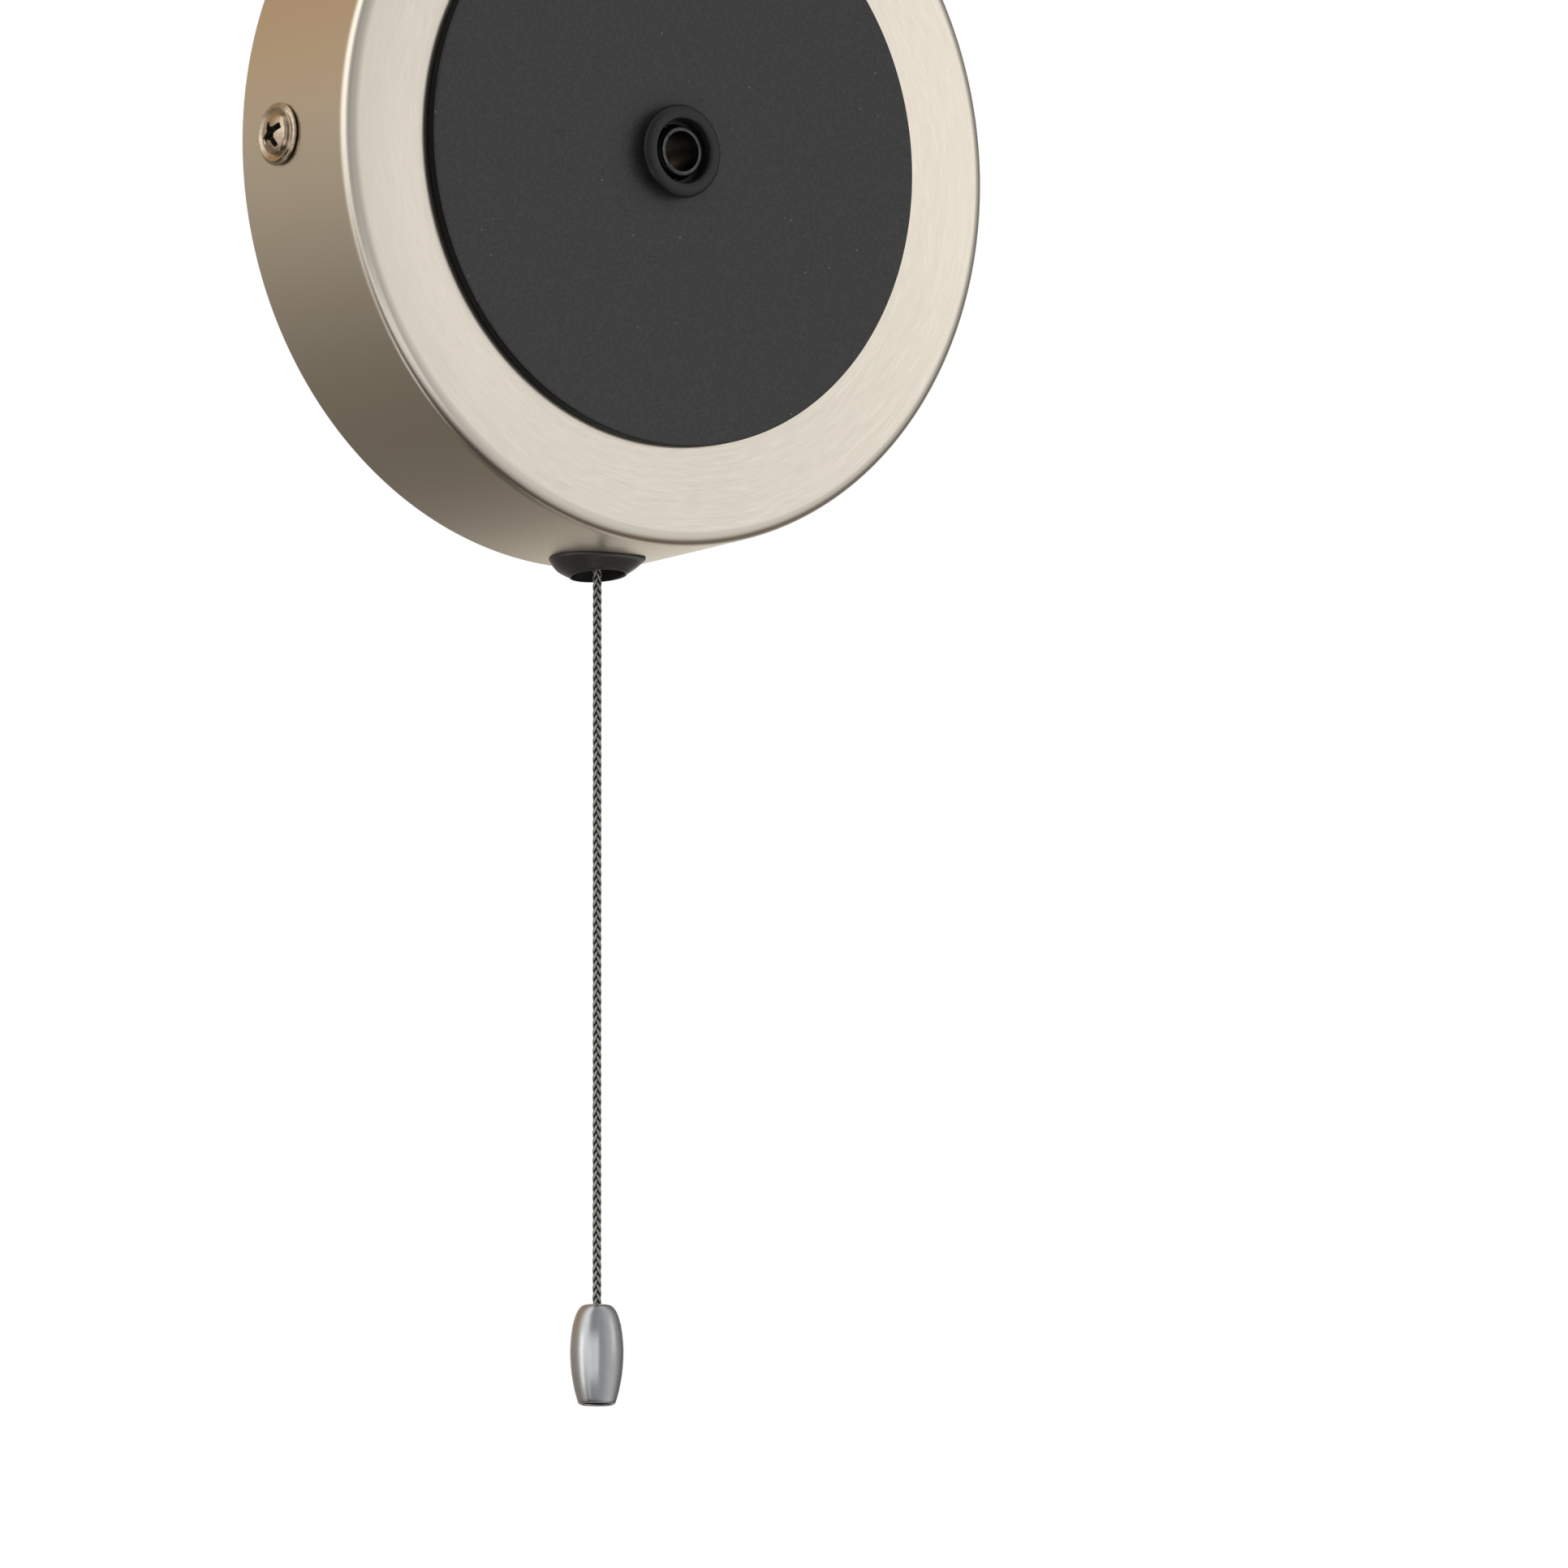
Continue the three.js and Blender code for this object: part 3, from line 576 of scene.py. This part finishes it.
def strand(k, way, heights):
    """The points of one strand, ring after ring, and how far along its floats each ring is. A float is a
    stretch between two crossings, over two strands or under two."""
    points, floats = [], []
    swing = way * TURN * STRAND_PATH / LEAD
    for z in heights:
        angle = way * TURN * z / LEAD + k * math.pi / 3 - math.radians(50)
        cross = 2 * STRANDS_EACH_WAY * z / LEAD
        floats.append((cross - 0.5) / 2 + k if way > 0 else (cross + 0.5) / 2 - k + 1)
        radial = Vector((math.cos(angle), math.sin(angle), 0))
        ahead = Vector((-math.sin(angle) * swing, math.cos(angle) * swing, 1)).normalized()
        side = ahead.cross(radial)
        high = max(-1.0, min(1.0, 1.4 * math.cos(math.pi * floats[-1])))
        centre = radial * (STRAND_PATH + STRAND_LIFT * high) + Vector((0, 0, z))
        for i in range(STRAND_SIDES):
            a = TURN * i / STRAND_SIDES
            across = STRAND_WIDE * math.sin(a)
            point = centre + radial * (STRAND_THICK * math.cos(a) - 0.8 * across ** 2) + side * across
            points.append(point * MM + Vector((CORD[0], CORD[1], 0)))
    return points, floats


def braid(name, top, bottom, node):
    """Twelve flat strands, six each way, each over two and under two: a mesh from top to bottom, in
    millimetres. The map holds how far along its floats a point is, and where it is round the strand."""
    steps = max(8, int(RINGS_PER_LEAD * (top - bottom) / LEAD))
    heights = [bottom + (top - bottom) * s / steps for s in range(steps + 1)]
    points, faces, maps = [], [], []
    for way in (1, -1):
        for k in range(STRANDS_EACH_WAY):
            first = len(points)
            more, floats = strand(k, way, heights)
            points += more
            faces += tube_faces(first, steps + 1, STRAND_SIDES)
            maps += [map_corners(here, ahead, i / STRAND_SIDES, (i + 1) / STRAND_SIDES)
                     for here, ahead in zip(floats, floats[1:]) for i in range(STRAND_SIDES)]
            for ring in (first, len(points) - STRAND_SIDES):
                faces.append(tuple(range(ring, ring + STRAND_SIDES)))
                maps.append(((1, 0.5),) * STRAND_SIDES)
    mesh = mesh_from(name, points, faces)
    set_strand_map(mesh, maps)
    return new_object(name, mesh, BRAID, node, smooth=60)


PULL_SIDES = [
    (1.9, 0), (2.15, -0.06), (2.42, -0.25), (2.72, -0.6), (3.05, -1.15), (3.3, -1.8), (3.66, -3.1),
    (3.85, -4.4), (3.97, -5.6), (4.03, -6.9), (4.0, -8.2), (3.92, -9.4), (3.8, -10.5), (3.6, -11.7),
    (3.36, -12.9), (3.08, -13.95), (2.95, -14.4), (2.84, -14.72), (2.7, -14.95), (2.54, -15.03),
    (2.36, -14.98), (2.25, -14.8),
]


def pull():
    """The turned barrel, open below, with a thin lip; its bore is painted near-black as painted shade."""
    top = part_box("cord_pull")[1][2] / MM
    profile = [(0.93, 0.0)] + PULL_SIDES + [(2.25, -4.5), (2.1, -4.3), (0.93, -4.3)]
    mesh = turned("pull", [(r, top + h) for r, h in profile], 96, "Z", (CORD[0], CORD[1], 0))
    made = new_object("pull", mesh, PULL, "cord_pull", smooth=45)

    # The faces of the bore get the near-black finish: painted shade inside the barrel.
    def bore(centre):
        reach = math.hypot(centre.x - CORD[0], centre.y - CORD[1])
        return reach < 2.27 * MM and centre.z < (top - 0.5) * MM

    second_finish(made, PAINTED_SHADE_BLACK, bore)
    return made


def knot_line(t):
    """A trefoil in millimetres, the path of an overhand knot pulled tight."""
    return Vector(((math.sin(t) + 2 * math.sin(2 * t)) * 0.34, (math.cos(t) - 2 * math.cos(2 * t)) * 0.34,
                   -math.sin(3 * t) * 0.62))


def knot(name, node, twist):
    """An overhand knot of the same cord."""
    at, points, maps = Vector(middle(node)), [], []
    steps, sides, radius = 96, 10, 0.66
    for s in range(steps):
        t = TURN * s / steps
        here, ahead = knot_line(t), (knot_line(t + 0.01) - knot_line(t - 0.01)).normalized()
        side = ahead.cross(here.normalized()).normalized()
        out = side.cross(ahead).normalized()
        for i in range(sides):
            a = TURN * i / sides + twist
            point = here + (out * math.cos(a) + side * math.sin(a)) * radius
            points.append(at + point * MM)
            maps.append(map_corners(s / 2, s / 2 + 0.5, 0.1 * (i % 3), 0.1 * (i % 3)))
    mesh = mesh_from(name, points, tube_faces(0, steps, sides, closed=True))
    set_strand_map(mesh, maps)
    return new_object(name, mesh, BRAID, node, smooth=70)


bush()
return_spring()

BEND = middle("cord_bend")[2] / MM
CORD_TOP, CORD_END = BEND - BEND_ROOM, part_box("cord_outer")[0][2] / MM
outer = braid("cord", CORD_TOP, CORD_END, "cord_outer")
braid("cord_upper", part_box("cord_inner")[1][2] / MM, BEND + BEND_ROOM, "cord_inner")
barrel = pull()
lower_knot = knot("lower_knot", "pull_knot", 0.0)
knot("upper_knot", "plunger_knot", 0.4)


# ---- The CAD nodes that show as they are ---------------------------------------------------------

FINISHES = {
    ZINC: ("wall_bracket", "nipple_washer", "nipple_nut", "block_screw", "terminal_screw", "bush_washer",
           "bush_nut", "case_screw", "wheel_axle"),
    BRASS: ("terminal_tube", "earth_washer", "earth_screw", "common_terminal", "fixed_terminal"),
    CASE_PLASTIC: ("switch_case", "switch_cover"),
    CREAM: ("terminal_block", "lead_sleeve"),
    NYLON: ("plunger", "ratchet_wheel"),
    BRONZE: ("drive_pawl", "contact_leaf"),
    SILVER: ("moving_contact", "fixed_contact"),
    BROWN_WIRE: ("switch_lead_1",),
    BLUE_WIRE: ("switch_lead_2",),
    BRAID: ("cord_bend",),
}
ROUND = ("switch_lead", "cord_bend")
REPLACED = ("plunger_knot",)


def finish_nodes():
    """Gives each CAD node that still shows its finish, and rounds the edges of those that have edges."""
    for material, starts in FINISHES.items():
        for name, node in frame["nodes"].items():
            if not name.startswith(starts) or name in REPLACED:
                continue
            node.data.materials.clear()
            node.data.materials.append(material)
            node.modifiers.new("weld", "WELD").merge_threshold = 1e-6
            if not name.startswith(ROUND):
                edge = node.modifiers.new("edge", "BEVEL")
                edge.width, edge.segments = 0.00018, 2
                edge.limit_method, edge.angle_limit = "ANGLE", math.radians(35)


finish_nodes()


# ---- Floor and light -----------------------------------------------------------------------------

def floor():
    """A wide pale floor far below the box, which hangs on a wall."""
    half, level = 30, -5
    corners = [(-half, -half, level), (half, -half, level), (half, half, level), (-half, half, level)]
    made = linked("floor", mesh_from("floor", corners, [(0, 1, 2, 3)]))
    m = Finish("floor", Roughness=0.9)
    m.set("Base Color", m.mix(m.noise(m.place(), 0.6, 2.0), rgb(0.86, 0.86, 0.86), rgb(0.9, 0.9, 0.9)))
    made.data.materials.append(m.material)
    made.visible_glossy = False


def softbox(name, at, width, height, power, colour=(1, 1, 1), aim=(0, 0, 0)):
    """A soft rectangular light at a place, facing another."""
    light = bpy.data.lights.new(name, "AREA")
    light.shape, light.size, light.size_y, light.energy = "RECTANGLE", width, height, power
    light.color = colour
    made = linked(name, light)
    facing = (Vector(at) - Vector(aim)).to_track_quat("Z", "Y")
    made.matrix_world = Matrix.Translation(at) @ facing.to_matrix().to_4x4()
    made.visible_camera = False


# The walls' colours, by direction from the object: degrees round from -X through -Y to +X, and back
# through +Y.
WALLS = [
    (0, (1.5, 1.49, 1.46)), (10, (1.4, 1.39, 1.38)), (24, (0.5, 0.5, 0.49)), (40, (0.36, 0.36, 0.35)),
    (60, (0.5, 0.5, 0.5)), (80, (0.5, 0.5, 0.5)), (95, (0.64, 0.64, 0.63)), (118, (0.82, 0.81, 0.8)),
    (140, (0.84, 0.83, 0.82)), (160, (0.5, 0.5, 0.5)), (190, (0.2, 0.2, 0.2)), (212, (0.3, 0.29, 0.27)),
    (230, (1.4, 1.33, 1.22)), (246, (0.68, 0.61, 0.53)), (275, (0.46, 0.41, 0.35)),
    (298, (0.47, 0.42, 0.35)), (318, (0.6, 0.53, 0.44)), (336, (1.1, 1.07, 1.02)),
    (346, (1.5, 1.48, 1.44)), (360, (1.5, 1.49, 1.46)),
]


def wall_colours(n, x, y):
    """A colour for each direction round the room."""
    node = n.tree.nodes.new("ShaderNodeValToRGB")
    n.plug(n.ramp(n.math("ARCTAN2", y, x), -math.pi, math.pi), node.inputs[0])
    stops = node.color_ramp.elements
    for i, (degrees, colour) in enumerate(WALLS):
        stop = stops[i] if i < 2 else stops.new(1)
        stop.position, stop.color = degrees / 360, rgb(*colour)
    return node.outputs[0]


def studio():
    """A room with bright and dark stretches of wall. It is darker and browner below, but less so at the
    lower right, and browner high up behind. The camera sees it as plain white."""
    world = bpy.data.worlds.new("studio")
    bpy.context.scene.world = world
    world.use_nodes = True
    world.node_tree.nodes.clear()
    n = Nodes(world.node_tree)
    x, y, z = n.split(n.add("TexCoord", out="Generated"))
    # The light fades downwards, but later in front; fades again straight below and at the sides; and
    # comes back at the lower right.
    in_front = n.math("MINIMUM", y, 0.0)
    height = n.ramp(n.math("MULTIPLY_ADD", in_front, -0.9, z), -0.95, 0.24, 0.1, 1.0)
    fall = n.ramp(n.math("MULTIPLY_ADD", n.math("ABSOLUTE", y), 2.5, z), -0.3, 0.05, 0.22, 1.0)
    glow = n.ramp(n.math("SUBTRACT", z, x), -1.0, -1.4, 0.0, 0.6)
    above_behind = n.math("MULTIPLY", n.ramp(z, 0.12, 0.42), n.ramp(y, 0.4, 0.7))
    warmth = n.math("ADD", n.math("MULTIPLY_ADD", fall, -1.0, above_behind), 1.0)
    warm = n.mix(warmth, wall_colours(n, x, y), rgb(1.08, 0.86, 0.64), "MULTIPLY")
    strength = n.math("MULTIPLY_ADD", height, fall, glow)
    shade = n.add("VectorMath", warm, inputs={"Scale": strength}, operation="SCALE")
    seen = n.mix(n.add("LightPath", out="Is Camera Ray"), shade, rgb(1, 1, 1))
    surface = n.tree.nodes.new("ShaderNodeOutputWorld").inputs["Surface"]
    n.plug(n.add("Background", seen), surface)
    bpy.context.scene.view_settings.view_transform = "Standard"


def lamps():
    """One light at the right of the box, and three small ones close to the pull."""
    softbox("right_light", (0.52, -0.56, 0.08), 0.3, 0.4, 0.14, (1, 0.98, 0.96))
    barrel_at = Vector(middle("cord_pull"))
    for name, degrees, away, width, power in (("pull_strip", 344, 0.15, 0.05, 0.012),
                                              ("pull_front", 40, 0.22, 0.18, 0.06)):
        turn = math.radians(degrees)
        place = barrel_at + Vector((-math.cos(turn), -math.sin(turn), 0.03)) * away
        softbox(name, place, width, away * 0.6, power, aim=barrel_at)
    softbox("pull_under", barrel_at + Vector((0.01, 0.015, -0.05)), 0.03, 0.03, 0.002, aim=barrel_at)


floor()
studio()
lamps()
